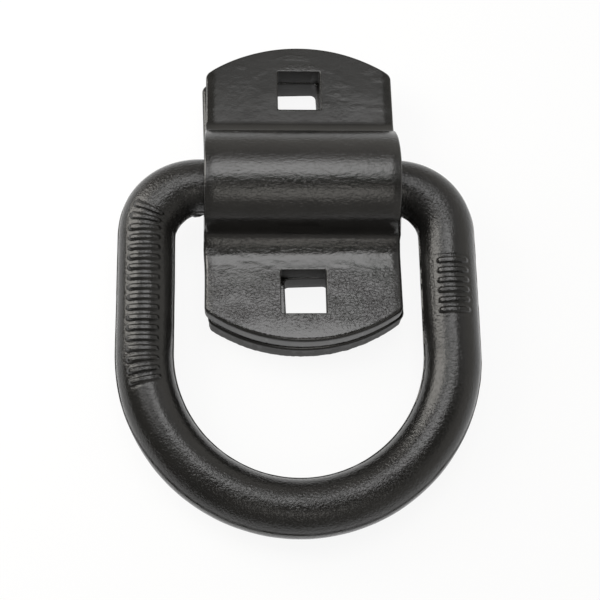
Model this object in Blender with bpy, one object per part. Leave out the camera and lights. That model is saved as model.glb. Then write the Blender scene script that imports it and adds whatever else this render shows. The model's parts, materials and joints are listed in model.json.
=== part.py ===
"""Bolt-on D ring tie down.

A forged D ring swings in a humped saddle plate, which is bolted through a flat back plate. The origin is
on the back plate's rear face, below the middle of the saddle plate. +Z points away from the surface that
the part is bolted to, and the ring lies towards -Y with its round end down on that surface. All sizes are
in metres.
"""

import math

import bmesh
import bpy
from mathutils import Matrix, Vector

# D ring
BAR_DIAMETER = 0.0127
SIDE_SPACING = 0.0691
TOP_CORNER_RADIUS = 0.0119
SIDE_LENGTH = 0.0392

# Saddle plate and back plate
SADDLE_WIDTH = 0.0450
SADDLE_END_RADIUS = 0.0378
BACK_MARGIN = 0.0003
PLATE_CORNER_RADIUS = 0.0022
SADDLE_THICKNESS = 0.0055
BACK_THICKNESS = 0.0062
FOOT_BEND_RADIUS = 0.0050
SADDLE_EDGE_RADIUS = 0.0009
BACK_EDGE_RADIUS = 0.0006

# Square holes for square-necked bolts
HOLE_SIZE = 0.0104
HOLE_TO_END = 0.0119
SADDLE_HOLE_CORNER_RADIUS = 0.0004
BACK_HOLE_CORNER_RADIUS = 0.0012
BACK_HOLE_SHIFT = 0.0005

# Raised ribs on the front of the ring
RIB_WIDTH = 0.0011
RIB_SPAN = 0.0070
RIB_HEIGHT = 0.0004
RIB_EDGE_RADIUS = 0.0002
RIB_ROOT_DEPTH = 0.0005
RIB_PITCH = 0.0023
LEFT_RIBS = 18
RIGHT_RIBS = 6
LEFT_RIBS_START = 0.0140
RIGHT_RIBS_START = 0.0263

# Clearances, and how the loose pieces lie in the photograph
PLATE_GAP = 0.0003
BAR_SEAT_GAP = 0.0003
TUNNEL_CLEARANCE = 0.0009
FLOOR_GAP = 0.0001
RING_PULL = 0.0004
RING_SIDE_SHIFT = -0.0012
BACK_PLATE_SHIFT = -0.0001
BACK_PLATE_TWIST = math.radians(1.7)

# Worked out from the sizes above
BAR_RADIUS = BAR_DIAMETER / 2
HALF_SPACING = SIDE_SPACING / 2
BACK_WIDTH = SADDLE_WIDTH + BACK_MARGIN
BACK_END_RADIUS = SADDLE_END_RADIUS + BACK_MARGIN
HOLE_SPACING = 2 * (SADDLE_END_RADIUS - HOLE_TO_END)
SADDLE_UNDERSIDE = BACK_THICKNESS + PLATE_GAP
SADDLE_TOP = SADDLE_UNDERSIDE + SADDLE_THICKNESS
HINGE_Y = -RING_PULL
HINGE_Z = BACK_THICKNESS + BAR_SEAT_GAP + BAR_RADIUS
TUNNEL_RADIUS = BAR_RADIUS + TUNNEL_CLEARANCE
HUMP_RADIUS = TUNNEL_RADIUS + SADDLE_THICKNESS
RING_REACH = SIDE_LENGTH + HALF_SPACING
RING_DROOP = math.asin((HINGE_Z - BAR_RADIUS - FLOOR_GAP) / RING_REACH)

# Fineness of the round shapes
SECTION_POINTS = 32
CORNER_STEPS = 8
ROUND_END_STEPS = 32
HUMP_STEPS = 24
FOOT_STEPS = 8
END_ARC_STEPS = 20
SMALL_CORNER_STEPS = 4
RIB_STEPS = 4
EDGE_SEGMENTS = 3
RIB_EDGE_SEGMENTS = 2
MERGE_DISTANCE = 0.00001
SHARP_ANGLE = math.radians(35)
CUTTER_MARGIN = 0.004

# Paint
PLATE_COLOUR = (0.020, 0.020, 0.021)
PLATE_ROUGHNESS = 0.34
RING_COLOUR = (0.016, 0.016, 0.017)
RING_ROUGHNESS = 0.38


def clear_scene():
    """Remove every object that the new scene started with."""
    for old in list(bpy.data.objects):
        bpy.data.objects.remove(old, do_unlink=True)


def painted_steel(name, colour, roughness):
    """A dark painted steel material."""
    material = bpy.data.materials.new(name)
    material.use_nodes = True
    shader = material.node_tree.nodes["Principled BSDF"]
    shader.inputs["Base Color"].default_value = (*colour, 1.0)
    shader.inputs["Roughness"].default_value = roughness
    shader.inputs["Metallic"].default_value = 0.0
    return material


def add_object(name, bm, material=None):
    """Turn a bmesh into a named object with outward faces, smooth but for its sharp edges."""
    bmesh.ops.recalc_face_normals(bm, faces=bm.faces)
    mesh = bpy.data.meshes.new(name)
    bm.to_mesh(mesh)
    bm.free()
    mesh.shade_smooth()
    mesh.set_sharp_from_angle(angle=SHARP_ANGLE)
    if material:
        mesh.materials.append(material)
    obj = bpy.data.objects.new(name, mesh)
    bpy.context.collection.objects.link(obj)
    return obj


def add_cutter(name, bm):
    """A helper solid for a Boolean, left out of the model."""
    cutter = add_object(name, bm)
    cutter.hide_render = True
    cutter.display_type = "WIRE"
    return cutter


def combine(target, other, operation):
    """Cut, trim or join the target with another object."""
    modifier = target.modifiers.new(other.name, "BOOLEAN")
    modifier.operation = operation
    modifier.object = other
    modifier.solver = "EXACT"


def round_edges(target, radius):
    """Round the target's sharp edges."""
    modifier = target.modifiers.new("rounded_edges", "BEVEL")
    modifier.width = radius
    modifier.segments = EDGE_SEGMENTS
    modifier.limit_method = "ANGLE"
    modifier.angle_limit = SHARP_ANGLE
    modifier.harden_normals = True


def arc(centre, radius, start, end, steps):
    """Points along an arc in a plane, both ends included."""
    angles = [start + (end - start) * i / steps for i in range(steps + 1)]
    return [(centre[0] + radius * math.cos(a), centre[1] + radius * math.sin(a)) for a in angles]


def prism(points, low, high, axis="Z"):
    """Extrude a closed outline from low to high, along Z from (x, y) points or along X from (y, z) points."""
    bm = bmesh.new()
    if axis == "Z":
        corners = [bm.verts.new((x, y, low)) for x, y in points]
        travel = Vector((0, 0, high - low))
    else:
        corners = [bm.verts.new((low, y, z)) for y, z in points]
        travel = Vector((high - low, 0, 0))
    face = bm.faces.new(corners)
    swept = bmesh.ops.extrude_face_region(bm, geom=[face], use_keep_orig=True)
    moved = [item for item in swept["geom"] if isinstance(item, bmesh.types.BMVert)]
    bmesh.ops.translate(bm, verts=moved, vec=travel)
    bmesh.ops.recalc_face_normals(bm, faces=bm.faces)
    return bm


def plate_outline(width, end_radius):
    """A disc trimmed to a plate's width, with small fillets where its arcs meet the straight sides."""
    fillet_x = width / 2 - PLATE_CORNER_RADIUS
    fillet_y = math.sqrt((end_radius - PLATE_CORNER_RADIUS) ** 2 - fillet_x**2)
    turn = math.atan2(fillet_y, fillet_x)
    half = arc((fillet_x, fillet_y), PLATE_CORNER_RADIUS, 0, turn, SMALL_CORNER_STEPS)
    half += arc((0, 0), end_radius, turn, math.pi - turn, END_ARC_STEPS)[1:-1]
    half += arc((-fillet_x, fillet_y), PLATE_CORNER_RADIUS, math.pi - turn, math.pi, SMALL_CORNER_STEPS)
    return half + [(-x, -y) for x, y in half]


def hole_outline(corner_radius, y):
    """A square with rounded corners around a point on the bracket's centre line."""
    reach = HOLE_SIZE / 2 - corner_radius
    points = []
    for quarter in range(4):
        middle = math.radians(45 + 90 * quarter)
        centre = (math.copysign(reach, math.cos(middle)), y + math.copysign(reach, math.sin(middle)))
        start = math.radians(90 * quarter)
        points += arc(centre, corner_radius, start, start + math.pi / 2, SMALL_CORNER_STEPS)
    return points


def saddle_line(height):
    """The bent line at one height in the saddle plate's thickness, from its +Y end to its -Y end."""
    foot_z = SADDLE_TOP + FOOT_BEND_RADIUS
    foot_y = math.sqrt((HUMP_RADIUS + FOOT_BEND_RADIUS) ** 2 - (foot_z - HINGE_Z) ** 2)
    lean = math.atan2(foot_z - HINGE_Z, foot_y)
    foot_radius = FOOT_BEND_RADIUS + SADDLE_THICKNESS - height
    half = [(SADDLE_END_RADIUS + CUTTER_MARGIN, SADDLE_UNDERSIDE + height)]
    half += arc((foot_y, foot_z), foot_radius, 1.5 * math.pi, math.pi + lean, FOOT_STEPS)
    hump = arc((0, HINGE_Z), TUNNEL_RADIUS + height, lean, math.pi - lean, HUMP_STEPS)
    return half + hump[1:-1] + [(-y, z) for y, z in reversed(half)]


def cut_bolt_holes(plate, corner_radius, low, high, shift=0.0):
    """Cut the two square holes through a plate, turned as the plate is turned and shifted off its middle."""
    for side, y in (("upper", HOLE_SPACING / 2), ("lower", -HOLE_SPACING / 2)):
        outline = hole_outline(corner_radius, y)
        cutter = add_cutter(f"{plate.name}_{side}_hole", prism(outline, low, high))
        cutter.location.x = shift
        cutter.parent = plate
        combine(plate, cutter, "DIFFERENCE")


def build_back_plate(material):
    """The flat plate behind the ring's bar, a little turned against the saddle as the loose pieces lie."""
    outline = plate_outline(BACK_WIDTH, BACK_END_RADIUS)
    plate = add_object("back_plate", prism(outline, 0, BACK_THICKNESS), material)
    plate.location.x = BACK_PLATE_SHIFT
    plate.rotation_euler.z = BACK_PLATE_TWIST
    round_edges(plate, BACK_EDGE_RADIUS)
    low, high = -CUTTER_MARGIN, BACK_THICKNESS + CUTTER_MARGIN
    cut_bolt_holes(plate, BACK_HOLE_CORNER_RADIUS, low, high, BACK_HOLE_SHIFT)
    return plate


def build_saddle_plate(material):
    """The plate with a hump over the ring's bar and a flange with a square hole on each side."""
    profile = saddle_line(0) + list(reversed(saddle_line(SADDLE_THICKNESS)))
    half_width = SADDLE_WIDTH / 2 + CUTTER_MARGIN
    plate = add_object("saddle_plate", prism(profile, -half_width, half_width, "X"), material)
    top = HINGE_Z + HUMP_RADIUS + CUTTER_MARGIN
    outline = plate_outline(SADDLE_WIDTH, SADDLE_END_RADIUS)
    trim = add_cutter("saddle_plate_outline", prism(outline, 0, top))
    trim.parent = plate
    combine(plate, trim, "INTERSECT")
    round_edges(plate, SADDLE_EDGE_RADIUS)
    cut_bolt_holes(plate, SADDLE_HOLE_CORNER_RADIUS, 0, SADDLE_TOP + CUTTER_MARGIN)
    return plate


def ring_station(distance, side):
    """Place and heading on the bar's centre line, at a distance along it from a top corner's start.

    The ring lies in its own XY plane with its straight bar on the X axis. side is -1 for the half towards -X
    and 1 for the half towards +X.
    """
    corner_length = TOP_CORNER_RADIUS * math.pi / 2
    straight_length = SIDE_LENGTH - TOP_CORNER_RADIUS
    if distance < corner_length:
        turn = distance / TOP_CORNER_RADIUS
        x = HALF_SPACING - TOP_CORNER_RADIUS * (1 - math.sin(turn))
        y = -TOP_CORNER_RADIUS * (1 - math.cos(turn))
    elif distance < corner_length + straight_length:
        turn = math.pi / 2
        x = HALF_SPACING
        y = -TOP_CORNER_RADIUS - (distance - corner_length)
    else:
        past = (distance - corner_length - straight_length) / HALF_SPACING
        turn = math.pi / 2 + past
        x = HALF_SPACING * math.cos(past)
        y = -SIDE_LENGTH - HALF_SPACING * math.sin(past)
    return Vector((side * x, y, 0)), -side * turn


def rib(place, heading):
    """One raised rib across the front of the bar, following the bar's roundness."""
    half_turn = RIB_SPAN / 2 / BAR_RADIUS
    start, end = math.pi / 2 - half_turn, math.pi / 2 + half_turn
    crest = arc((0, 0), BAR_RADIUS + RIB_HEIGHT, start, end, RIB_STEPS)
    root = arc((0, 0), BAR_RADIUS - RIB_ROOT_DEPTH, end, start, RIB_STEPS)
    bm = prism(crest + root, -RIB_WIDTH / 2, RIB_WIDTH / 2, "X")
    raised = {vert for vert in bm.verts if math.hypot(vert.co.y, vert.co.z) > BAR_RADIUS}
    crest_edges = [edge for edge in bm.edges if raised.issuperset(edge.verts)]
    rim = [edge for edge in crest_edges if edge.calc_face_angle() > SHARP_ANGLE]
    bmesh.ops.bevel(
        bm,
        geom=rim,
        offset=RIB_EDGE_RADIUS,
        offset_type="OFFSET",
        segments=RIB_EDGE_SEGMENTS,
        profile=0.5,
        affect="EDGES",
        material=-1,
    )
    bm.transform(Matrix.Translation(place) @ Matrix.Rotation(heading, 4, "Z"))
    return bm


def build_ribs():
    """The rows of plain raised ribs on the ring's two sides, as one helper solid for the ring's union."""
    rows = ((-1, LEFT_RIBS, LEFT_RIBS_START), (1, RIGHT_RIBS, RIGHT_RIBS_START))
    all_ribs = bmesh.new()
    for side, count, start in rows:
        for number in range(count):
            place, heading = ring_station(start + number * RIB_PITCH, side)
            one = rib(place, heading)
            mesh = bpy.data.meshes.new("rib")
            one.to_mesh(mesh)
            one.free()
            all_ribs.from_mesh(mesh)
            bpy.data.meshes.remove(mesh)
    return add_cutter("d_ring_ribs", all_ribs)


def sweep_straight(bm, geometry, travel):
    """Carry the bar's section along a straight stretch, and give back the section at its end."""
    swept = bmesh.ops.extrude_edge_only(bm, edges=[g for g in geometry if isinstance(g, bmesh.types.BMEdge)])
    moved = [g for g in swept["geom"] if isinstance(g, bmesh.types.BMVert)]
    bmesh.ops.translate(bm, verts=moved, vec=travel)
    ends = set(moved)
    return [e for e in bm.edges if e.verts[0] in ends and e.verts[1] in ends]


def sweep_arc(bm, geometry, centre, angle, steps):
    """Carry the bar's section round an arc in the ring's plane, and give back the section at its end."""
    spun = bmesh.ops.spin(bm, geom=geometry, cent=centre, axis=(0, 0, 1), angle=angle, steps=steps)
    return [g for g in spun["geom_last"] if isinstance(g, bmesh.types.BMEdge)]


def build_ring(material):
    """The D ring, swept from the middle of its straight bar, round both sides and back."""
    bm = bmesh.new()
    upright = Matrix.Rotation(math.pi / 2, 4, "Y")
    bmesh.ops.create_circle(bm, segments=SECTION_POINTS, radius=BAR_RADIUS, matrix=upright)
    section = bm.edges[:]
    half_bar = HALF_SPACING - TOP_CORNER_RADIUS
    side_run = SIDE_LENGTH - TOP_CORNER_RADIUS
    section = sweep_straight(bm, section, Vector((half_bar, 0, 0)))
    section = sweep_arc(bm, section, (half_bar, -TOP_CORNER_RADIUS, 0), -math.pi / 2, CORNER_STEPS)
    section = sweep_straight(bm, section, Vector((0, -side_run, 0)))
    section = sweep_arc(bm, section, (0, -SIDE_LENGTH, 0), -math.pi, ROUND_END_STEPS)
    section = sweep_straight(bm, section, Vector((0, side_run, 0)))
    section = sweep_arc(bm, section, (-half_bar, -TOP_CORNER_RADIUS, 0), -math.pi / 2, CORNER_STEPS)
    sweep_straight(bm, section, Vector((half_bar, 0, 0)))
    bmesh.ops.remove_doubles(bm, verts=bm.verts, dist=MERGE_DISTANCE)
    ring = add_object("d_ring", bm, material)

    hinge = bpy.data.objects.new("ring_hinge", None)
    bpy.context.collection.objects.link(hinge)
    hinge.location = (RING_SIDE_SHIFT, HINGE_Y, HINGE_Z)
    hinge.rotation_euler.x = RING_DROOP
    ring.parent = hinge
    ribs = build_ribs()
    ribs.parent = hinge
    combine(ring, ribs, "UNION")
    return ring


def main():
    clear_scene()
    plate_paint = painted_steel("black_plate_paint", PLATE_COLOUR, PLATE_ROUGHNESS)
    ring_paint = painted_steel("black_ring_paint", RING_COLOUR, RING_ROUGHNESS)
    build_back_plate(plate_paint)
    build_saddle_plate(plate_paint)
    build_ring(ring_paint)


main()
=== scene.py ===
"""A bolt-on D ring tie down in satin black paint, on a pale studio floor."""

import json
import math

import bmesh
import bpy
from bpy.props import FloatProperty, FloatVectorProperty, IntProperty, PointerProperty
from mathutils import Matrix, Vector, noise


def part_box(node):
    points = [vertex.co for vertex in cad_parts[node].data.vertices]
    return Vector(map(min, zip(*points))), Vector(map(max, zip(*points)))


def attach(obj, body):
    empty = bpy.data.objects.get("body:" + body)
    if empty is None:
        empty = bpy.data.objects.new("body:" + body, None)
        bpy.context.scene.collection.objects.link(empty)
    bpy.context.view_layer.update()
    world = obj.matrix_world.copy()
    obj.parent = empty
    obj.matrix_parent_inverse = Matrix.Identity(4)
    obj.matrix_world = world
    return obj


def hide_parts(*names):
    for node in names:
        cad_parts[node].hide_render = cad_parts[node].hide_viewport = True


bl_info = {
    "name": "Bolt-on D Ring Tie Down",
    "version": (1, 0, 0),
    "blender": (4, 5, 0),
    "location": "3D View > Sidebar > Tie Down",
    "description": "Builds a painted D ring, its saddle plate and back plate, and a pale studio",
    "category": "Add Mesh",
}

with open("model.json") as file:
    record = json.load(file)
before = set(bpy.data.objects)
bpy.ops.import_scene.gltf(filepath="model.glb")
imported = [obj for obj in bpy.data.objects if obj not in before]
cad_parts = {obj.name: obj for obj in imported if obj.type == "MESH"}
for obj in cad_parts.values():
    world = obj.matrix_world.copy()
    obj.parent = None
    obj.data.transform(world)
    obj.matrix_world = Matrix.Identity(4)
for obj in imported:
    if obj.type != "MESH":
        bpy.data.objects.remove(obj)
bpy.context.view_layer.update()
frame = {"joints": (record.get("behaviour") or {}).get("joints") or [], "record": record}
HINGE = Vector(frame["joints"][0]["pos_m"])
RING_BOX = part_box("d_ring")
SADDLE_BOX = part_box("saddle_plate")
BACK_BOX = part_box("back_plate")
SEATS = {mount["name"]: Vector(mount["pos_m"]) for mount in frame["record"]["mounts"]}

MM = 0.001
SHARP_ANGLE = math.radians(35)
MERGE_DISTANCE = 0.001 * MM
CUT_TRIES = 5
FORWARD = Vector((0, 0, 1))
RIGHT = Vector((1, 0, 0))
UP = Vector((0, 1, 0))
DOWN = Vector((0, -1, 0))
RING_STEP = 2.4 * MM
RING_SEGMENTS = 128
SEAM_CROWDING = 0.22
RIBBED_CUTS = 13
PLAIN_CUTS = 3
PROFILE_STEP = 0.4 * MM
SADDLE_SLICE = 0.5 * MM
FLANGE_SLICE = 0.33 * MM
BACK_SLICE = 1.0 * MM
SADDLE_EDGE_STEPS = 6
BACK_EDGE_STEPS = 5
HOLE_EDGE_STEPS = 3
CUTTER_OVERRUN = 10 * MM
TEAR_SOFTNESS = 0.15 * MM


def length(name, default, description):
    """A length that a user can change, in metres."""
    return FloatProperty(name=name, description=description, default=default, unit="LENGTH", precision=5)


def turn(name, default, description):
    """An angle that a user can change."""
    return FloatProperty(name=name, description=description, default=default, subtype="ANGLE")


def amount(name, default, description):
    """A plain number that a user can change."""
    return FloatProperty(name=name, description=description, default=default, precision=3)


def colour(name, default, description):
    """A linear colour that a user can change."""
    return FloatVectorProperty(
        name=name, description=description, default=default, subtype="COLOR", size=3, min=0, max=1
    )


class TieDownRing(bpy.types.PropertyGroup):
    """Sizes of the forged ring."""

    bar: length("Bar diameter", 12.7 * MM, "Diameter of the round bar")
    width: length("Width", RING_BOX[1].x - RING_BOX[0].x, "Width over both sides of the ring")
    corner: length("Corner radius", 11.9 * MM, "Centre-line radius of the two top corners")
    side: length("Side length", 39.2 * MM, "From the straight bar's line to the start of the round end")
    floor_gap: length("Floor gap", 0.1 * MM, "Height of the round end over the surface it lies on")
    rib_width: length("Rib width", 1.1 * MM, "Width of a raised rib")
    rib_span: length("Rib span", 7.0 * MM, "Length of a raised rib, across the bar")
    rib_height: length("Rib height", 0.4 * MM, "Height of a raised rib")
    rib_pitch: length("Rib pitch", 2.3 * MM, "Distance from rib to rib along the bar")
    left_ribs: IntProperty(name="Left ribs", description="Number of ribs on the left side", default=18)
    right_ribs: IntProperty(name="Right ribs", description="Number of ribs on the right side", default=6)
    left_start: length("Left ribs' start", 14.0 * MM, "Along the bar from the top corner to the first rib")
    right_start: length("Right ribs' start", 26.3 * MM, "Along the bar from the top corner to the first rib")
    parting: length("Parting line height", 0.2 * MM, "Height of the trimmed flash round the ring")
    nub: length("Nub height", 0.6 * MM, "Height of the small nub under the left end of the straight bar")


class TieDownBracket(bpy.types.PropertyGroup):
    """Sizes of the saddle plate and the back plate."""

    width: length("Width", SADDLE_BOX[1].x - SADDLE_BOX[0].x, "Width of the saddle plate")
    end_radius: length("End radius", SADDLE_BOX[1].y, "Radius of the arcs at the saddle plate's ends")
    back_width: length("Back plate width", 45.3 * MM, "Width of the back plate")
    back_end_radius: length("Back plate end radius", 38.1 * MM, "Radius of the arcs at the back plate's ends")
    corner: length("Corner radius", 2.2 * MM, "Fillet where an end arc meets a straight side")
    bend: length("Bend radius", 5.0 * MM, "Radius of the bends at the foot of the hump")
    tunnel_clearance: length("Tunnel clearance", 0.9 * MM, "Room round the bar under the hump")
    edge: length("Edge radius", 0.9 * MM, "Rounding of the lower flange's edges")
    hump_edge: length("Hump edge radius", 0.45 * MM, "Rounding of the hump's and the upper flange's edges")
    back_edge: length("Back plate edge radius", 0.9 * MM, "Rounding of the back plate's edges")
    shear_step: length("Shear step", 0.22 * MM, "How far the torn part of a sheared edge lies back")
    torn: amount("Torn share", 0.27, "Share of the saddle plate's sheared edges that is torn")
    back_torn: amount("Back torn share", 0.85, "Share of the back plate's sheared edges that is torn")
    hole: length("Hole size", 10.4 * MM, "Size across the flats of the square holes")
    hole_spacing: length("Hole spacing", 51.8 * MM, "Distance between the square holes")
    hole_corner: length("Hole corner radius", 0.4 * MM, "Corner radius of the saddle plate's holes")
    back_hole_corner: length("Back hole corner radius", 1.2 * MM, "Corner radius of the back plate's holes")
    hole_edge: length("Hole edge radius", 0.25 * MM, "Rounding of the holes' rims")
    back_shift: length("Back plate shift", -0.1 * MM, "How far the loose back plate lies to the right")
    back_holes: length("Back holes' shift", 0.5 * MM, "How far the back plate's holes lie off its middle")
    back_twist: turn("Back plate twist", math.radians(1.7), "How far the loose back plate is turned")
    ripple: length("Ripple height", 0.055 * MM, "Height of the ripples in the lower flange")
    left_draw: length("Left draw-in", 0.1 * MM, "How far the bending drew in the hump's left side")
    right_draw: length("Right draw-in", 0.7 * MM, "How far the bending drew in the hump's right side")
    ramp: length("Lower bend ramp", 0.32 * MM, "How far the lower bend runs in below a plain round bend")
    lead_in: length("Lower bend lead-in", 0.22 * MM, "How far the flange rises before the lower bend")
    bulge: length("Bend bulge", 0.3 * MM, "How far the sides bulge at the lower bend")
    droop: length("Edge droop", 0.22 * MM, "How far the outer face falls off towards its long sides")


class TieDownPaint(bpy.types.PropertyGroup):
    """The black paint."""

    plate: colour("Plate colour", (0.0105, 0.0102, 0.0096), "Paint on the two plates")
    ring: colour("Ring colour", (0.0095, 0.0092, 0.0086), "Paint on the ring")
    roughness: amount("Roughness", 0.15, "Roughness of the paint where it lies smooth")
    peel: length("Orange peel", 0.020 * MM, "Height of the paint's orange peel")
    wrinkle: length("Wrinkles", 0.085 * MM, "Height of the wrinkles where the plates' paint is coarse")
    ring_wrinkle: length("Ring wrinkles", 0.19 * MM, "Height of wrinkles where the ring's paint is coarse")
    plate_index: amount("Plate index", 1.6, "Refractive index of the plates' paint")
    ring_index: amount("Ring index", 1.5, "Refractive index of the ring's paint")
    grain: length("Grain", 0.009 * MM, "Height of the finest grain in the paint")


class TieDownStudio(bpy.types.PropertyGroup):
    """The floor, the room, the lamps and the camera."""

    floor: colour("Floor colour", (0.90, 0.90, 0.89), "Colour of the pale floor")
    floor_white: amount("Floor white", 0.9, "How far the floor is plain white to the camera")
    ceiling: amount("Ceiling", 0.12, "Strength of the room's ceiling")
    wall: amount("Walls", 1.0, "Strength of the room's walls, which are palest on the right")
    top_lamp: amount("Top lamp", 2.6, "Brightness of the soft box overhead")
    rear_lamp: amount("Rear lamp", 1.0, "Brightness added by the longer soft box overhead")
    far_lamp: amount("Far lamp", 0.45, "Brightness added by the longest soft box overhead")
    high_lamp: amount("High left lamp", 1.6, "Brightness of the soft box high on the left")
    right_lamp: amount("High right lamp", 0.4, "Brightness of the wide soft box high on the right")
    left_lamp: amount("Left lamp", 4.9, "Brightness of the soft box on the left")
    front_lamp: amount("Front lamp", 1.75, "Brightness of the soft box in front")
    warm: colour("Warm light", (1.0, 0.97, 0.91), "Colour of the room and of the left and front lamps")
    lens: FloatProperty(name="Lens", description="Focal length", default=65.758, unit="CAMERA")


class Value:
    """A shader socket that can be used in sums."""

    def __init__(self, tree, socket):
        self.tree = tree
        self.socket = socket

    def math(self, operation, *values):
        node = self.tree.nodes.new("ShaderNodeMath")
        node.operation = operation
        for slot, value in zip(node.inputs, values):
            feed(self.tree, slot, value)
        return Value(self.tree, node.outputs[0])

    def __add__(self, other):
        return self.math("ADD", self, other)

    __radd__ = __add__

    def __mul__(self, other):
        return self.math("MULTIPLY", self, other)

    __rmul__ = __mul__

    def __sub__(self, other):
        return self.math("SUBTRACT", self, other)

    def __rsub__(self, other):
        return self.math("SUBTRACT", other, self)


def feed(tree, slot, value):
    """Link a value to a node's input, or set a plain number or colour there."""
    if isinstance(value, Value):
        tree.links.new(value.socket, slot)
    else:
        slot.default_value = value


class Shader:
    """A material's or the world's node tree, with one way to add a node."""

    SEEN = ("Is Camera Ray", "Is Glossy Ray", "Is Transmission Ray")

    def __init__(self, owner):
        owner.use_nodes = True
        self.tree = owner.node_tree

    def add(self, kind, settings=None, output=0, **values):
        """Add a node: its settings, then the values or links of its inputs, by name."""
        node = self.tree.nodes.new(kind)
        for name, setting in (settings or {}).items():
            setattr(node, name, setting)
        for name, value in values.items():
            title = name.replace("_", " ")
            slot = next(s for s in node.inputs if s.enabled and s.name == title)
            feed(self.tree, slot, value)
        return Value(self.tree, node.outputs[output])

    def steps(self, value, low, high):
        """A soft step from 0 at low to 1 at high."""
        return self.add(
            "ShaderNodeMapRange",
            {"interpolation_type": "SMOOTHSTEP"},
            Value=value,
            From_Min=low,
            From_Max=high,
        )

    def noise(self, place, size, detail=2.0, distortion=0.0):
        """Noise from about 0 to 1, with features of a size in metres."""
        return self.add(
            "ShaderNodeTexNoise",
            Vector=place,
            Scale=1 / size,
            Detail=detail,
            Distortion=distortion,
        )

    def seen_ray(self):
        """1 for the camera's rays, direct or by way of a shiny or clear surface, and 0 for other rays."""
        camera, glossy, clear = (self.add("ShaderNodeLightPath", output=name) for name in self.SEEN)
        return camera.math("MAXIMUM", camera.math("MAXIMUM", camera, glossy), clear)

    def mixed(self, share, first, second):
        """A shader that is the first one at a share of 0 and the second one at 1."""
        blend = self.add("ShaderNodeMixShader", Fac=share)
        for slot, shader in zip(blend.socket.node.inputs[1:], (first, second)):
            feed(self.tree, slot, shader)
        return blend

    def finish(self, shader, kind="OUTPUT_MATERIAL"):
        """Link a shader to the tree's output."""
        output = next(node for node in self.tree.nodes if node.type == kind)
        self.tree.links.new(shader.socket, output.inputs["Surface"])


def clear_nodes(tree):
    """Leave only the output node in a tree."""
    for node in list(tree.nodes):
        if not node.type.startswith("OUTPUT"):
            tree.nodes.remove(node)


def black_paint(name, base, paint, wrinkle_height, stretch, index):
    """Satin black paint over steel, with the coarse and sheared places that the mesh's attributes name."""
    material = bpy.data.materials.new(name)
    shade = Shader(material)
    clear_nodes(shade.tree)
    place = shade.add("ShaderNodeTexCoord", output="Object")
    coarse = shade.add("ShaderNodeAttribute", {"attribute_name": "coarse"}, output="Fac")
    sheared = shade.add("ShaderNodeAttribute", {"attribute_name": "sheared"}, output="Fac")

    drawn = shade.add("ShaderNodeMapping", Vector=place, Scale=stretch)
    peel = shade.noise(place, 1.4 * MM, detail=1.0)
    wrinkle = shade.noise(drawn, 0.55 * MM, detail=2.0, distortion=0.8)
    grain = shade.noise(place, 0.32 * MM, detail=1.0)
    height = peel * paint.peel + grain * ((sheared * 3 + 1) * paint.grain)
    height = height + wrinkle * ((coarse + 0.02) * wrinkle_height)
    normal = shade.add("ShaderNodeBump", Distance=1.0, Strength=1.0, Height=height)

    patches = shade.noise(place, 9 * MM, detail=4.0)
    rough = paint.roughness + (patches - 0.5) * 0.12 + coarse * 0.05 + sheared * 0.5
    tint = shade.add(
        "ShaderNodeMix",
        {"data_type": "RGBA"},
        output=2,
        Factor=shade.steps(patches, 0.35, 0.7) - sheared,
        A=(*base, 1.0),
        B=(*(level * 1.35 for level in base), 1.0),
    )
    surface = shade.add(
        "ShaderNodeBsdfPrincipled",
        Base_Color=tint,
        Roughness=rough,
        IOR=index,
        Normal=normal,
    )
    shade.finish(surface)
    return material


def smooth_step(low, high, value):
    """A soft step from 0 at low to 1 at high."""
    share = min(max((value - low) / (high - low), 0.0), 1.0)
    return share * share * (3 - 2 * share)


def arc(centre, radius, start, end, steps):
    """Points along an arc in a plane, both ends included."""
    angles = [start + (end - start) * i / steps for i in range(steps + 1)]
    return [(centre[0] + radius * math.cos(a), centre[1] + radius * math.sin(a)) for a in angles]


def steps_along(distance, spacing):
    """The number of steps of about a spacing in a distance."""
    return max(1, round(distance / spacing))


def link(name, bm, material=None):
    """Turn a bmesh into a named object, smooth but for its sharp edges."""
    mesh = bpy.data.meshes.new(name)
    bm.to_mesh(mesh)
    bm.free()
    mesh.shade_smooth()
    mesh.set_sharp_from_angle(angle=SHARP_ANGLE)
    if material:
        mesh.materials.append(material)
    obj = bpy.data.objects.new(name, mesh)
    bpy.context.scene.collection.objects.link(obj)
    return obj


def prism(points, low, high, axis="Z"):
    """Extrude an outline from low to high: along Z from (x, y) points, or along X from (y, z) points."""
    bm = bmesh.new()
    if axis == "Z":
        corners = [bm.verts.new((x, y, low)) for x, y in points]
        travel = Vector((0, 0, high - low))
    else:
        corners = [bm.verts.new((low, y, z)) for y, z in points]
        travel = Vector((high - low, 0, 0))
    face = bm.faces.new(corners)
    swept = bmesh.ops.extrude_face_region(bm, geom=[face], use_keep_orig=True)
    moved = [item for item in swept["geom"] if isinstance(item, bmesh.types.BMVert)]
    bmesh.ops.translate(bm, verts=moved, vec=travel)
    bmesh.ops.recalc_face_normals(bm, faces=bm.faces)
    return bm


def stays_inside(bm, target):
    """Whether a bmesh reaches nowhere past the object that it was made from."""
    for axis in range(3):
        cut = [vert.co[axis] for vert in bm.verts]
        whole = [vert.co[axis] for vert in target.data.vertices]
        if min(cut) < min(whole) - MERGE_DISTANCE or max(cut) > max(whole) + MERGE_DISTANCE:
            return False
    return True


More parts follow.
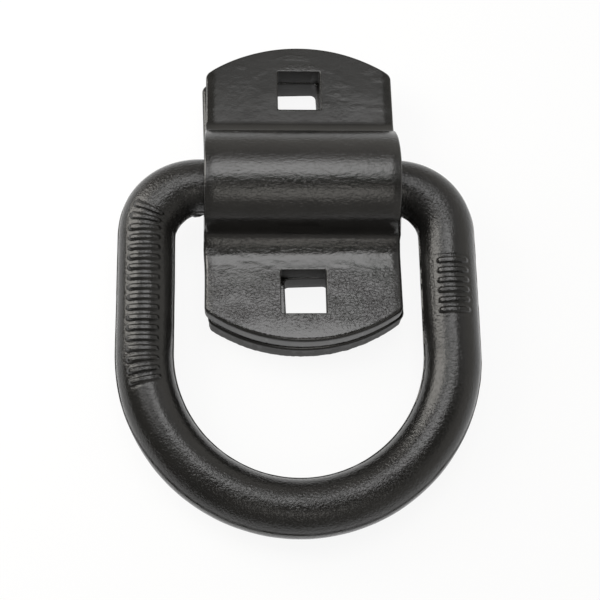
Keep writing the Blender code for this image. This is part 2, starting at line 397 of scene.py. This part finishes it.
def applied(target):
    """Apply an object's modifiers, remove the object, and give back the result as a bmesh.

    Now and then the Boolean solver leaves a cutter's walls standing. Such a result is made again.
    """
    for _ in range(CUT_TRIES):
        bm = bmesh.new()
        bm.from_object(target, bpy.context.evaluated_depsgraph_get())
        if stays_inside(bm, target):
            bpy.data.objects.remove(target, do_unlink=True)
            return bm
        bm.free()
        target.update_tag()
    raise RuntimeError(f"{target.name} could not be cut cleanly")


def combined(target, others, operation):
    """Cut or trim an object with others, remove them all, and give back the result as a bmesh."""
    for other in others:
        modifier = target.modifiers.new(other.name, "BOOLEAN")
        modifier.operation = operation
        modifier.object = other
        modifier.solver = "EXACT"
    bm = applied(target)
    for other in others:
        bpy.data.objects.remove(other, do_unlink=True)
    return bm


def rounded(bm, width_at, widest, segments):
    """Round the sharp edges of a bmesh, with a width that may change from place to place."""
    layers = bm.edges.layers.float
    weights = layers.get("bevel_weight_edge") or layers.new("bevel_weight_edge")
    for edge in bm.edges:
        edge[weights] = 0.0
        if edge.is_manifold and edge.calc_face_angle() > SHARP_ANGLE:
            middle = (edge.verts[0].co + edge.verts[1].co) / 2
            edge[weights] = width_at(middle) / widest
    obj = link("rounding", bm)
    modifier = obj.modifiers.new("rounded_edges", "BEVEL")
    modifier.width = widest
    modifier.segments = segments
    modifier.limit_method = "WEIGHT"
    modifier.use_clamp_overlap = False
    return applied(obj)


def slice_up(bm, direction, places):
    """Cut a bmesh along planes at rising places in a direction, so that its surface has points to move."""

    def beyond(items, place):
        return [item for item in items if reach(item) > place + MERGE_DISTANCE]

    def reach(item):
        corners = (item,) if isinstance(item, bmesh.types.BMVert) else item.verts
        return max(corner.co.dot(direction) for corner in corners)

    uncut = beyond(bm.verts[:] + bm.edges[:] + bm.faces[:], places[0])
    for place in places:
        cut = bmesh.ops.bisect_plane(
            bm, geom=uncut, dist=MERGE_DISTANCE, plane_co=direction * place, plane_no=direction
        )
        uncut = beyond(cut["geom"], place)


def places_between(low, high, spacing):
    """Evenly spaced places between two ends, which are left out."""
    count = steps_along(high - low, spacing)
    return [low + (high - low) * i / count for i in range(1, count)]


def plate_outline(width, end_radius, corner):
    """A disc trimmed to a plate's width, with small fillets where its arcs meet the straight sides."""
    fillet_x = width / 2 - corner
    fillet_y = math.sqrt((end_radius - corner) ** 2 - fillet_x**2)
    lean = math.atan2(fillet_y, fillet_x)
    half = arc((fillet_x, fillet_y), corner, 0, lean, 8)
    half += arc((0, 0), end_radius, lean, math.pi - lean, 60)[1:-1]
    half += arc((-fillet_x, fillet_y), corner, math.pi - lean, math.pi, 8)
    return half + [(-x, -y) for x, y in half]


def hole_outline(sizes, corner, y):
    """A square with rounded corners around a point on the bracket's centre line."""
    reach = sizes.hole / 2 - corner
    points = []
    for quarter in range(4):
        middle = math.radians(45 + 90 * quarter)
        centre = (math.copysign(reach, math.cos(middle)), y + math.copysign(reach, math.sin(middle)))
        start = math.radians(90 * quarter)
        points += arc(centre, corner, start, start + math.pi / 2, 5)
    return points


def near_hole(point, sizes):
    """Whether a point lies at one of the square holes."""
    reach = 0.75 * sizes.hole
    return abs(point.x) < reach and abs(abs(point.y) - sizes.hole_spacing / 2) < reach


def hole_cutters(sizes, corner, shift=0.0):
    """The two square cutters for a plate's bolt holes."""
    cutters = []
    for y in (sizes.hole_spacing / 2, -sizes.hole_spacing / 2):
        bm = prism(hole_outline(sizes, corner, y), BACK_BOX[0].z - CUTTER_OVERRUN, SADDLE_BOX[1].z)
        bmesh.ops.translate(bm, verts=bm.verts, vec=RIGHT * shift)
        cutters.append(link("bolt_hole", bm))
    return cutters


def rounded_holes(bm, sizes):
    """Round the rims and the corners of a plate's square holes."""

    def width_at(point):
        return sizes.hole_edge if near_hole(point, sizes) else 0.0

    return rounded(bm, width_at, sizes.hole_edge, HOLE_EDGE_STEPS)


class SaddleForm:
    """The bent line of the saddle plate, worked out from the frame and the bracket's sizes."""

    def __init__(self, sizes, bar_radius):
        self.underside = SADDLE_BOX[0].z
        self.flange_top = SEATS["upper_bolt_seat"].z
        self.thickness = self.flange_top - self.underside
        self.tunnel_radius = bar_radius + sizes.tunnel_clearance
        self.hump_radius = self.tunnel_radius + self.thickness
        self.foot_z = self.flange_top + sizes.bend
        self.foot_y = math.sqrt((self.hump_radius + sizes.bend) ** 2 - (self.foot_z - HINGE.z) ** 2)
        self.lean = math.atan2(self.foot_z - HINGE.z, self.foot_y)
        self.bend = sizes.bend
        self.reach = sizes.end_radius + 2 * MM

    def line(self, height, spacing):
        """The bent line at one height in the plate's thickness, from its +Y end to its -Y end."""
        foot_radius = self.bend + self.thickness - height
        foot_steps = steps_along(foot_radius * (math.pi / 2 - self.lean), spacing)
        hump_radius = self.tunnel_radius + height
        hump_steps = steps_along(hump_radius * (math.pi - 2 * self.lean), spacing)
        foot = (self.foot_y, self.foot_z)
        half = [(self.reach, self.underside + height)]
        half += arc(foot, foot_radius, 1.5 * math.pi, math.pi + self.lean, foot_steps)
        hump = arc((0, HINGE.z), hump_radius, self.lean, math.pi - self.lean, hump_steps)
        return half + hump[1:-1] + [(-y, z) for y, z in reversed(half)]

    def outward(self, point):
        """The direction out of the outer face at a point: up, to a bend's centre, or away from the bar."""
        if abs(point.y) > self.foot_y:
            return FORWARD
        if point.z < HINGE.z + self.hump_radius * math.sin(self.lean):
            centre = Vector((point.x, math.copysign(self.foot_y, point.y), self.foot_z))
            return (centre - point).normalized()
        return Vector((0, point.y, point.z - HINGE.z)).normalized()

    def skin(self, point):
        """How near a point is to the outer face, from 0 in the plate's middle to 1 on that face."""
        if abs(point.y) > self.foot_y or point.z < self.foot_z and abs(point.y) > self.hump_radius:
            height = point.z - self.underside
        else:
            height = math.hypot(point.y, point.z - HINGE.z) - self.tunnel_radius
        return smooth_step(0.45, 0.8, height / self.thickness)


def write_layer(obj, name, levels):
    """Write a number at each point of a mesh, for its material."""
    layer = obj.data.attributes.new(name, "FLOAT", "POINT")
    for item, level in zip(layer.data, levels):
        item.value = level


def shear_walls(bm, sizes, high, low, share, inner):
    """Set the torn, lower part of a plate's sheared walls back, and give how sheared each point is.

    high and low are the heights of the plate's two faces, and a share of the height between them is torn.
    Points nearer to the bar than inner are left alone.
    """
    torn_from = low + share * (high - low)
    for height in (torn_from, torn_from + TEAR_SOFTNESS, (low + torn_from) / 2):
        slice_up(bm, FORWARD, [height])
    bm.normal_update()
    levels = {}
    for vert in bm.verts:
        flat = Vector((vert.normal.x, vert.normal.y, 0))
        on_wall = abs(vert.normal.z) < 0.75 and abs(vert.co.y) > inner
        if not on_wall:
            continue
        torn = smooth_step(torn_from + 0.1 * MM, torn_from, vert.co.z)
        levels[vert] = 1.0 if near_hole(vert.co, sizes) else 0.4 + 0.6 * torn
        fray = 0.7 + 0.6 * noise.noise(vert.co / (0.9 * MM))
        vert.co -= flat.normalized() * torn * fray * sizes.shear_step
    return [levels.get(vert, 0.0) for vert in bm.verts]


def bump(point, middle, reach):
    """1 at a point on the pressing, falling to 0 at a reach from it."""
    return 1 - smooth_step(0, reach, (point - middle).length)


def saddle_coarseness(point):
    """The lower flange and the lower bend are coarse, the hump is finer and the upper flange is smooth."""
    lower = smooth_step(-11.5 * MM, -13.5 * MM, point.y)
    middle = smooth_step(-19.5 * MM, -22 * MM, point.y) * smooth_step(-37 * MM, -31 * MM, point.y)
    patch = noise.noise(Vector((point.x / (6 * MM), point.y / (3 * MM), 2.0)))
    start = smooth_step(-17.5 * MM, -16 * MM, point.y)
    lower *= 0.45 + 0.5 * start + middle * (1.4 + patch)
    crest = 0.8 * smooth_step(16 * MM, 21 * MM, point.z)
    patch = noise.noise(Vector((point.x / (4 * MM), point.y / (2 * MM), 7.0)))
    upper = 0.4 * smooth_step(0.15, 0.5, patch) * smooth_step(17 * MM, 22 * MM, point.y)
    punched = bump(Vector((point.x / 4, point.y, 12 * MM)), Vector((0, 32 * MM, 12 * MM)), 2 * MM)
    return lower + crest + upper + punched


def ripple(point, sizes):
    """The height of the ripples in the lower flange at a point."""
    band = smooth_step(-14 * MM, -16 * MM, point.y) * smooth_step(-31.5 * MM, -28 * MM, point.y)
    side = 0.45 + 0.55 * smooth_step(4 * MM, 9 * MM, abs(point.x))
    sway = 0.7 * MM * noise.noise(Vector((point.x, point.y, 0)) / (3.1 * MM))
    waves = Vector((point.x / (2.7 * MM), (point.y + sway) / (1.05 * MM), 3.0))
    return sizes.ripple * band * side * noise.fractal(waves, 0.9, 2.0, 2)


def pressing_marks(point):
    """The depth of the pits in the hump and of the scuffs in the upper flange at a point."""
    pits = 0.25 * bump(point, Vector((-1.9, -7.1, 24.3)) * MM, 0.6 * MM)
    pits += 0.20 * bump(point, Vector((-15.3, 9.1, 21.6)) * MM, 0.7 * MM)
    scuff = Vector((point.x / 3.5, point.y, 12 * MM))
    pits += 0.03 * bump(scuff, Vector((10.6 / 3.5, 23.2, 12)) * MM, 0.5 * MM)
    return pits * MM


def lead_in(point, sizes):
    """The height by which the flange has risen before the lower bend, along an uneven line."""
    sway = 0.5 * noise.noise(Vector((point.x / (9 * MM), 0, 4))) + 0.25 * noise.noise(point / (1.3 * MM))
    rise = smooth_step(-18.6 * MM, -15.6 * MM, point.y + sway * MM)
    fall = smooth_step(-12.4 * MM, -14.4 * MM, point.y)
    return sizes.lead_in * rise * fall * (1 - point.x / sizes.width)


def shape_saddle(bm, sizes, form):
    """Move the outer face of the saddle plate by its ripples, its marks and the strain of its bends."""
    half = sizes.width / 2
    for vert in bm.verts:
        skin = form.skin(vert.co)
        if skin <= 0:
            continue
        point = vert.co.copy()
        height = 0.035 * MM * noise.noise(point / (7 * MM)) + 0.008 * MM * noise.noise(point / (1.4 * MM))
        near_side = smooth_step(half - 3 * MM, half, abs(point.x)) ** 2
        foot = smooth_step(form.flange_top + 0.5 * MM, form.flange_top + 1.5 * MM, point.z)
        near_side *= 1 - foot * smooth_step(form.foot_z + 4 * MM, form.foot_z + 2 * MM, point.z)
        height += ripple(point, sizes) - pressing_marks(point) - sizes.droop * near_side
        vert.co += form.outward(point) * skin * height
        ramp = smooth_step(-15.0 * MM, -13.2 * MM, point.y) * smooth_step(-12.0 * MM, -13.1 * MM, point.y)
        ramp *= 0.4 + 0.6 * smooth_step(-12 * MM, 10 * MM, point.x)
        near_foot = point.z < form.foot_z
        vert.co.z += skin * near_foot * (lead_in(point, sizes) - sizes.ramp * ramp)

        side = math.copysign(1, point.x)
        draw = sizes.right_draw if side > 0 else sizes.left_draw
        hump = smooth_step(form.flange_top + 2 * MM, form.foot_z - 0.5 * MM, point.z)
        lower_bend = math.exp(-(((point.y + form.foot_y - 2 * MM) / (4 * MM)) ** 2)) * (1 - hump)
        bulge = sizes.bulge * (lower_bend if side < 0 else 0)
        pull = smooth_step(0.5 * half, half, abs(point.x))
        vert.co.x += side * skin * pull * (bulge - draw * hump)


def build_saddle(sizes, bar_radius, material):
    """The pressed plate with its hump, its flanges and its square holes."""
    form = SaddleForm(sizes, bar_radius)
    profile = form.line(0, PROFILE_STEP) + list(reversed(form.line(form.thickness, PROFILE_STEP)))
    half_width = sizes.width / 2 + MM
    blank = link("saddle_blank", prism(profile, -half_width, half_width, "X"))
    outline = plate_outline(sizes.width, sizes.end_radius, sizes.corner)
    trim = link("saddle_outline", prism(outline, 0, SADDLE_BOX[1].z + MM))
    bm = combined(blank, [trim], "INTERSECT")
    bm = combined(link("saddle_plate_body", bm), hole_cutters(sizes, sizes.hole_corner), "DIFFERENCE")

    def width_at(point):
        """The rounding is tighter on the hump and the upper flange, and the holes have their own."""
        if near_hole(point, sizes):
            return 0.0
        hump = smooth_step(form.flange_top + MM, form.flange_top + 3 * MM, point.z)
        upper = smooth_step(0, form.foot_y, point.y)
        return sizes.edge + (sizes.hump_edge - sizes.edge) * max(hump, upper)

    bm = rounded(bm, width_at, max(sizes.hump_edge, sizes.edge), SADDLE_EDGE_STEPS)
    bm = rounded_holes(bm, sizes)
    slice_up(bm, RIGHT, places_between(-sizes.width / 2, sizes.width / 2, SADDLE_SLICE))
    flange = places_between(form.foot_y, sizes.end_radius, FLANGE_SLICE)
    slice_up(bm, UP, flange)
    slice_up(bm, DOWN, flange)
    shape_saddle(bm, sizes, form)
    sheared = shear_walls(bm, sizes, form.flange_top, form.underside, sizes.torn, form.foot_y)
    coarse = [saddle_coarseness(vert.co) for vert in bm.verts]
    plate = link("painted_saddle_plate", bm, material)
    write_layer(plate, "coarse", coarse)
    write_layer(plate, "sheared", sheared)
    return plate


def build_back(sizes, material):
    """The flat plate behind the ring's bar, a little turned against the saddle plate."""
    high = BACK_BOX[1].z
    bm = prism(plate_outline(sizes.back_width, sizes.back_end_radius, sizes.corner), 0, high)
    cutters = hole_cutters(sizes, sizes.back_hole_corner, sizes.back_holes)
    bm = combined(link("back_plate_body", bm), cutters, "DIFFERENCE")

    def width_at(point):
        """The holes have their own rounding."""
        return 0.0 if near_hole(point, sizes) else sizes.back_edge

    bm = rounded(bm, width_at, sizes.back_edge, BACK_EDGE_STEPS)
    bm = rounded_holes(bm, sizes)
    slice_up(bm, RIGHT, places_between(-sizes.back_width / 2, sizes.back_width / 2, BACK_SLICE))
    slice_up(bm, UP, places_between(-sizes.back_end_radius, sizes.back_end_radius, BACK_SLICE))
    for vert in bm.verts:
        if vert.co.z > high / 4:
            vert.co.z -= 0.05 * MM * abs(noise.noise(vert.co / (6 * MM)))
    sheared = shear_walls(bm, sizes, high, BACK_BOX[0].z, sizes.back_torn, 0)
    place = Matrix.Translation((sizes.back_shift, 0, 0)) @ Matrix.Rotation(sizes.back_twist, 4, "Z")
    bm.transform(place)
    plate = link("painted_back_plate", bm, material)
    write_layer(plate, "coarse", [0.35] * len(plate.data.vertices))
    write_layer(plate, "sheared", sheared)
    return plate


class RingForm:
    """The ring's centre line. The ring lies in its own XY plane, with its straight bar on the X axis."""

    def __init__(self, sizes):
        self.bar_radius = sizes.bar / 2
        self.half_spacing = (sizes.width - sizes.bar) / 2
        self.corner = sizes.corner
        self.side = sizes.side
        self.half_bar = self.half_spacing - sizes.corner
        self.corner_length = sizes.corner * math.pi / 2
        self.side_run = sizes.side - sizes.corner
        reach = sizes.side + self.half_spacing
        droop = math.asin((HINGE.z - self.bar_radius - sizes.floor_gap) / reach)
        self.place = Matrix.Translation(HINGE) @ Matrix.Rotation(droop, 4, "X")

    def nearest(self, point):
        """The nearest point on the centre line, the distance along it from a top corner, and outwards."""
        side = math.copysign(1, point.x)
        x, y = abs(point.x), point.y
        if x < self.half_bar and y > -self.side / 2:
            return Vector((point.x, 0, 0)), x - self.half_bar, Vector((0, 1, 0))
        if y > -self.corner:
            centre, radius, start = Vector((self.half_bar, -self.corner, 0)), self.corner, 0
        elif y > -self.side:
            along = self.corner_length - y - self.corner
            return Vector((side * self.half_spacing, y, 0)), along, Vector((side, 0, 0))
        else:
            centre, radius = Vector((0, -self.side, 0)), self.half_spacing
            start = self.corner_length + self.side_run - radius * math.pi / 2
        out = Vector((x - centre.x, y - centre.y, 0)).normalized()
        along = start + radius * math.atan2(out.x, out.y)
        line = centre + out * radius
        return Vector((side * line.x, line.y, 0)), along, Vector((side * out.x, out.y, 0))


def sweep(bm, section, distance, centre=None, angle=0.0, travel=None):
    """Carry the bar's section along a straight stretch or round an arc, and give back its last place."""
    steps = steps_along(distance, RING_STEP)
    spun = bmesh.ops.spin(
        bm,
        geom=section,
        cent=centre or Vector(),
        axis=(0, 0, 1),
        dvec=(travel or Vector()) / steps,
        angle=angle,
        steps=steps,
    )
    return [item for item in spun["geom_last"] if isinstance(item, bmesh.types.BMEdge)]


def ribs_on(point, sizes):
    """The number of ribs on a point's side of the ring, and where along the bar they start."""
    if point.x > 0:
        return sizes.right_ribs, sizes.right_start
    return sizes.left_ribs, sizes.left_start


def rib_height(along, around, count, start, sizes):
    """The height of the raised ribs at a point of the bar's front, with a shallow dip round each rib."""
    number = min(max(round((along - start) / sizes.rib_pitch), 0), count - 1)
    past_end = max(abs(around) - (sizes.rib_span - sizes.rib_width) / 2, 0)
    distance = math.hypot(along - start - number * sizes.rib_pitch, past_end)
    half = sizes.rib_width / 2
    crest = 1 - smooth_step(half - 0.22 * MM, half + 0.18 * MM, distance)
    dip = math.exp(-(((distance - half - 0.45 * MM) / (0.3 * MM)) ** 2))
    return sizes.rib_height * crest - 0.07 * MM * dip


def insert_seam(along, around, sizes):
    """The depth of the die insert's seam round the right ribs, a rounded oblong open to the outside."""
    start = sizes.right_start - 1.3 * MM
    end = start + sizes.right_ribs * sizes.rib_pitch + 0.4 * MM
    corner = 1.2 * MM
    reach_along = abs(along - (start + end) / 2) - (end - start) / 2 + corner
    reach_around = around - 5.1 * MM + corner
    distance = math.hypot(max(reach_along, 0), max(reach_around, 0)) + min(max(reach_along, reach_around), 0)
    line = math.exp(-(((distance - corner) / (0.16 * MM)) ** 2))
    return 0.07 * MM * line * smooth_step(-2.5 * MM, 1.5 * MM, around)


def ring_relief(point, form, sizes):
    """Where a point of the ring's skin moves: outwards from the centre line, by the forging's marks."""
    line, along, out = form.nearest(point)
    direction = (point - line).normalized()
    angle = math.atan2(direction.z, direction.dot(out))
    around = form.bar_radius * (angle - math.pi / 2)
    height = 0.045 * MM * noise.noise(point / (8 * MM)) + 0.016 * MM * noise.noise(point / (2.2 * MM))
    if direction.z > 0:
        height += rib_height(along, around, *ribs_on(point, sizes), sizes)
        if point.x > 0:
            height -= insert_seam(along, around, sizes)
    waver = 0.12 * MM * noise.noise(Vector((along / (3 * MM), 5.0, point.x * 100)))
    seam = form.bar_radius * min(abs(angle), math.pi - abs(angle))
    in_corner = smooth_step(0, 4 * MM, along) * smooth_step(20 * MM, 15 * MM, along)
    inner_corner = in_corner * (math.cos(angle) < 0)
    flash = sizes.parting * (1 + inner_corner * (0.8 + 0.4 * noise.noise(point / (2.5 * MM))))
    round_end = smooth_step(-50 * MM, -66 * MM, point.y) * (math.cos(angle) > 0)
    shoulder = seam + waver - 2.2 * MM * round_end
    height += flash * (1 - smooth_step(0.5 * MM, 0.7 * MM, shoulder))
    corner = math.sin(math.pi * min(max(along / form.corner_length, 0), 1)) ** 2
    height += corner * (0.22 + 0.1 * (math.cos(angle) < 0)) * MM * abs(math.cos(angle))
    skin = line + direction * form.bar_radius
    nub = Vector((-23.1 * MM, -form.bar_radius * math.cos(0.26), -form.bar_radius * math.sin(0.26)))
    height += sizes.nub * (1 - smooth_step(0.6 * MM, 1.6 * MM, (skin - nub).length))
    return skin + direction * height


def ring_coarseness(point, form):
    """The bar is coarse at its corners and on the front of its round end, and finer on its sides."""
    patch = 0.5 + 0.5 * noise.noise(point / (11 * MM))
    top = smooth_step(-16 * MM, -6 * MM, point.y) * (1 - smooth_step(0, 7 * MM, point.y))
    end = smooth_step(-62 * MM, -72 * MM, point.y) * smooth_step(5 * MM, 10 * MM, point.z)
    return min(1.0, 0.2 + 0.45 * patch + 0.35 * top + 0.3 * end)


def swept_ring(form):
    """The bar's section carried all the way round the ring, with its points crowded towards the seams."""
    bm = bmesh.new()
    upright = Matrix.Rotation(math.pi / 2, 4, "Y")
    bmesh.ops.create_circle(bm, segments=RING_SEGMENTS, radius=form.bar_radius, matrix=upright)
    for vert in bm.verts:
        angle = math.atan2(vert.co.z, vert.co.y)
        angle -= SEAM_CROWDING * math.sin(2 * angle)
        vert.co = Vector((0, math.cos(angle), math.sin(angle))) * form.bar_radius
    half_bar = RIGHT * form.half_bar
    corner = DOWN * form.corner
    quarter = math.pi / 2
    section = bm.edges[:]
    section = sweep(bm, section, form.half_bar, travel=half_bar)
    section = sweep(bm, section, form.corner_length, half_bar + corner, -quarter)
    section = sweep(bm, section, form.side_run, travel=DOWN * form.side_run)
    section = sweep(bm, section, form.half_spacing * math.pi, DOWN * form.side, -math.pi)
    section = sweep(bm, section, form.side_run, travel=UP * form.side_run)
    section = sweep(bm, section, form.corner_length, corner - half_bar, -quarter)
    sweep(bm, section, form.half_bar, travel=half_bar)
    bmesh.ops.remove_doubles(bm, verts=bm.verts, dist=MERGE_DISTANCE)
    bmesh.ops.recalc_face_normals(bm, faces=bm.faces)
    return bm


def build_ring(sizes, material):
    """The forged ring, swept along its centre line and then given its ribs, seams and forging marks."""
    form = RingForm(sizes)
    bm = swept_ring(form)
    ribbed, plain = [], []
    for edge in bm.edges:
        if edge.calc_length() < RING_STEP / 3:
            continue
        middle = (edge.verts[0].co + edge.verts[1].co) / 2
        count, start = ribs_on(middle, sizes)
        along = form.nearest(middle)[1] - start
        near_ribs = -sizes.rib_pitch < along < count * sizes.rib_pitch
        (ribbed if near_ribs else plain).append(edge)
    bmesh.ops.subdivide_edges(bm, edges=ribbed, cuts=RIBBED_CUTS)
    bmesh.ops.subdivide_edges(bm, edges=plain, cuts=PLAIN_CUTS)
    for vert in bm.verts:
        vert.co = ring_relief(vert.co, form, sizes)
    bm.transform(form.place)
    ring = link("painted_d_ring", bm, material)
    write_layer(ring, "coarse", [ring_coarseness(vert.co, form) for vert in ring.data.vertices])
    return ring


def finished(piece, body, node):
    """Let a piece ride on its body in the place of its plain node."""
    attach(piece, body)
    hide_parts(node)


def aim(obj, place, target):
    """Put an object at a place, with its -Z axis towards a target."""
    obj.location = place
    obj.rotation_euler = (Vector(target) - Vector(place)).to_track_quat("-Z", "Y").to_euler()


def soft_box(name, place, target, size, brightness, tint=(1.0, 1.0, 1.0)):
    """A rectangular soft lamp whose face has a given brightness, where white paper in plain light has 1."""
    lamp = bpy.data.lights.new(name, "AREA")
    lamp.shape = "RECTANGLE"
    lamp.size, lamp.size_y = size
    lamp.energy = brightness * size[0] * size[1] * math.pi
    lamp.color = tint
    obj = bpy.data.objects.new(name, lamp)
    bpy.context.scene.collection.objects.link(obj)
    aim(obj, place, target)
    obj.visible_camera = False
    return obj


def build_floor(studio):
    """A pale floor that the camera sees as nearly white, apart from the object's soft shadow."""
    bm = bmesh.new()
    bmesh.ops.create_grid(bm, x_segments=1, y_segments=1, size=1.5)
    bmesh.ops.translate(bm, verts=bm.verts, vec=(0, 0, -0.02 * MM))
    material = bpy.data.materials.new("pale_floor")
    shade = Shader(material)
    clear_nodes(shade.tree)
    matt = shade.add("ShaderNodeBsdfDiffuse", Color=(*studio.floor, 1.0))
    white = shade.add("ShaderNodeEmission", Color=(1.0, 1.0, 1.0, 1.0), Strength=1.0)
    shade.finish(shade.mixed(shade.seen_ray() * studio.floor_white, matt, white))
    link("studio_floor", bm, material)


def build_room(studio):
    """The room's light: a dim ceiling, and walls that are palest on the right and darkest on the left."""
    world = bpy.data.worlds.new("pale_room")
    bpy.context.scene.world = world
    shade = Shader(world)
    clear_nodes(shade.tree)
    heading = shade.add("ShaderNodeTexCoord", output="Generated")
    x, y, z = (shade.add("ShaderNodeSeparateXYZ", output=axis, Vector=heading) for axis in range(3))
    low = shade.steps(z, 0.9, 0.5) * (x * 0.36 + y * 0.14 + 0.36)
    tint = (*studio.warm, 1.0)
    walls = shade.add("ShaderNodeBackground", Color=tint, Strength=studio.wall)
    ceiling = shade.add("ShaderNodeBackground", Color=tint, Strength=studio.ceiling)
    shade.finish(shade.mixed(low, ceiling, walls), "OUTPUT_WORLD")


def build_camera(studio):
    """The camera of the photograph, found from the ring's size and the holes' places."""
    data = bpy.data.cameras.new("camera")
    data.sensor_width = 36
    data.lens = studio.lens
    data.clip_start = 0.01
    camera = bpy.data.objects.new("camera", data)
    bpy.context.scene.collection.objects.link(camera)
    camera.location = (-0.015002, -0.111339, 0.244143)
    camera.rotation_mode = "ZYX"
    camera.rotation_euler = (0.344565, -0.056707, -0.003281)
    bpy.context.scene.camera = camera


class TIEDOWN_OT_ring(bpy.types.Operator):
    """Build the painted D ring in the place of its plain solid"""

    bl_idname = "tiedown.ring"
    bl_label = "D Ring"

    def execute(self, context):
        scene = context.scene
        paint = scene.tiedown_paint
        material = black_paint(
            "black_ring_paint", paint.ring, paint, paint.ring_wrinkle, (1, 1, 1), paint.ring_index
        )
        finished(build_ring(scene.tiedown_ring, material), "ring", "d_ring")
        return {"FINISHED"}


class TIEDOWN_OT_plates(bpy.types.Operator):
    """Build the painted saddle plate and back plate in the place of their plain solids"""

    bl_idname = "tiedown.plates"
    bl_label = "Saddle and Back Plates"

    def execute(self, context):
        scene = context.scene
        paint = scene.tiedown_paint
        material = black_paint(
            "black_plate_paint", paint.plate, paint, paint.wrinkle, (0.7, 1, 1), paint.plate_index
        )
        sizes = scene.tiedown_bracket
        saddle = build_saddle(sizes, scene.tiedown_ring.bar / 2, material)
        finished(saddle, "bracket", "saddle_plate")
        finished(build_back(sizes, material), "bracket", "back_plate")
        return {"FINISHED"}


class TIEDOWN_OT_studio(bpy.types.Operator):
    """Build the floor, the room, the soft lamps and the camera"""

    bl_idname = "tiedown.studio"
    bl_label = "Studio"

    def execute(self, context):
        studio = context.scene.tiedown_studio
        context.scene.view_settings.view_transform = "Standard"
        build_floor(studio)
        build_room(studio)
        warm = studio.warm
        soft_box("top_lamp", (-0.005, 0.064, 0.38), (-0.005, 0.064, 0), (0.19, 0.172), studio.top_lamp)
        soft_box("rear_lamp", (0.005, 0.10, 0.381), (0.005, 0.10, 0), (0.18, 0.26), studio.rear_lamp)
        soft_box("far_lamp", (0.03, 0.15, 0.382), (0.03, 0.15, 0), (0.17, 0.36), studio.far_lamp)
        soft_box("high_lamp", (-0.22, 0.025, 0.38), (-0.16, 0.02, 0), (0.25, 0.25), studio.high_lamp)
        soft_box("right_lamp", (0.24, 0.10, 0.38), (0.20, 0.10, 0), (0.28, 0.39), studio.right_lamp)
        soft_box("left_lamp", (-0.20, 0.070, 0.15), (0, 0.03, 0.01), (0.17, 0.20), studio.left_lamp, warm)
        soft_box("front_lamp", (0.03, -0.30, 0.38), (0, -0.02, 0.02), (0.16, 0.17), studio.front_lamp, warm)
        build_camera(studio)
        return {"FINISHED"}


class TIEDOWN_PT_panel(bpy.types.Panel):
    """The tie down's sizes, paint and studio"""

    bl_label = "Tie Down"
    bl_space_type = "VIEW_3D"
    bl_region_type = "UI"
    bl_category = "Tie Down"

    def draw(self, context):
        groups = (
            ("tiedown_ring", "tiedown.ring"),
            ("tiedown_bracket", "tiedown.plates"),
            ("tiedown_paint", None),
            ("tiedown_studio", "tiedown.studio"),
        )
        for group, operator in groups:
            box = self.layout.box()
            settings = getattr(context.scene, group)
            for name in settings.__annotations__:
                box.prop(settings, name)
            if operator:
                box.operator(operator)


GROUPS = {
    "tiedown_ring": TieDownRing,
    "tiedown_bracket": TieDownBracket,
    "tiedown_paint": TieDownPaint,
    "tiedown_studio": TieDownStudio,
}
CLASSES = (*GROUPS.values(), TIEDOWN_OT_ring, TIEDOWN_OT_plates, TIEDOWN_OT_studio, TIEDOWN_PT_panel)


def register():
    for entry in CLASSES:
        bpy.utils.register_class(entry)
    for name, group in GROUPS.items():
        setattr(bpy.types.Scene, name, PointerProperty(type=group))


def unregister():
    for name in GROUPS:
        delattr(bpy.types.Scene, name)
    for entry in reversed(CLASSES):
        bpy.utils.unregister_class(entry)


def main():
    register()
    bpy.ops.tiedown.studio()
    bpy.ops.tiedown.plates()
    bpy.ops.tiedown.ring()


if __name__ == "__main__":
    main()
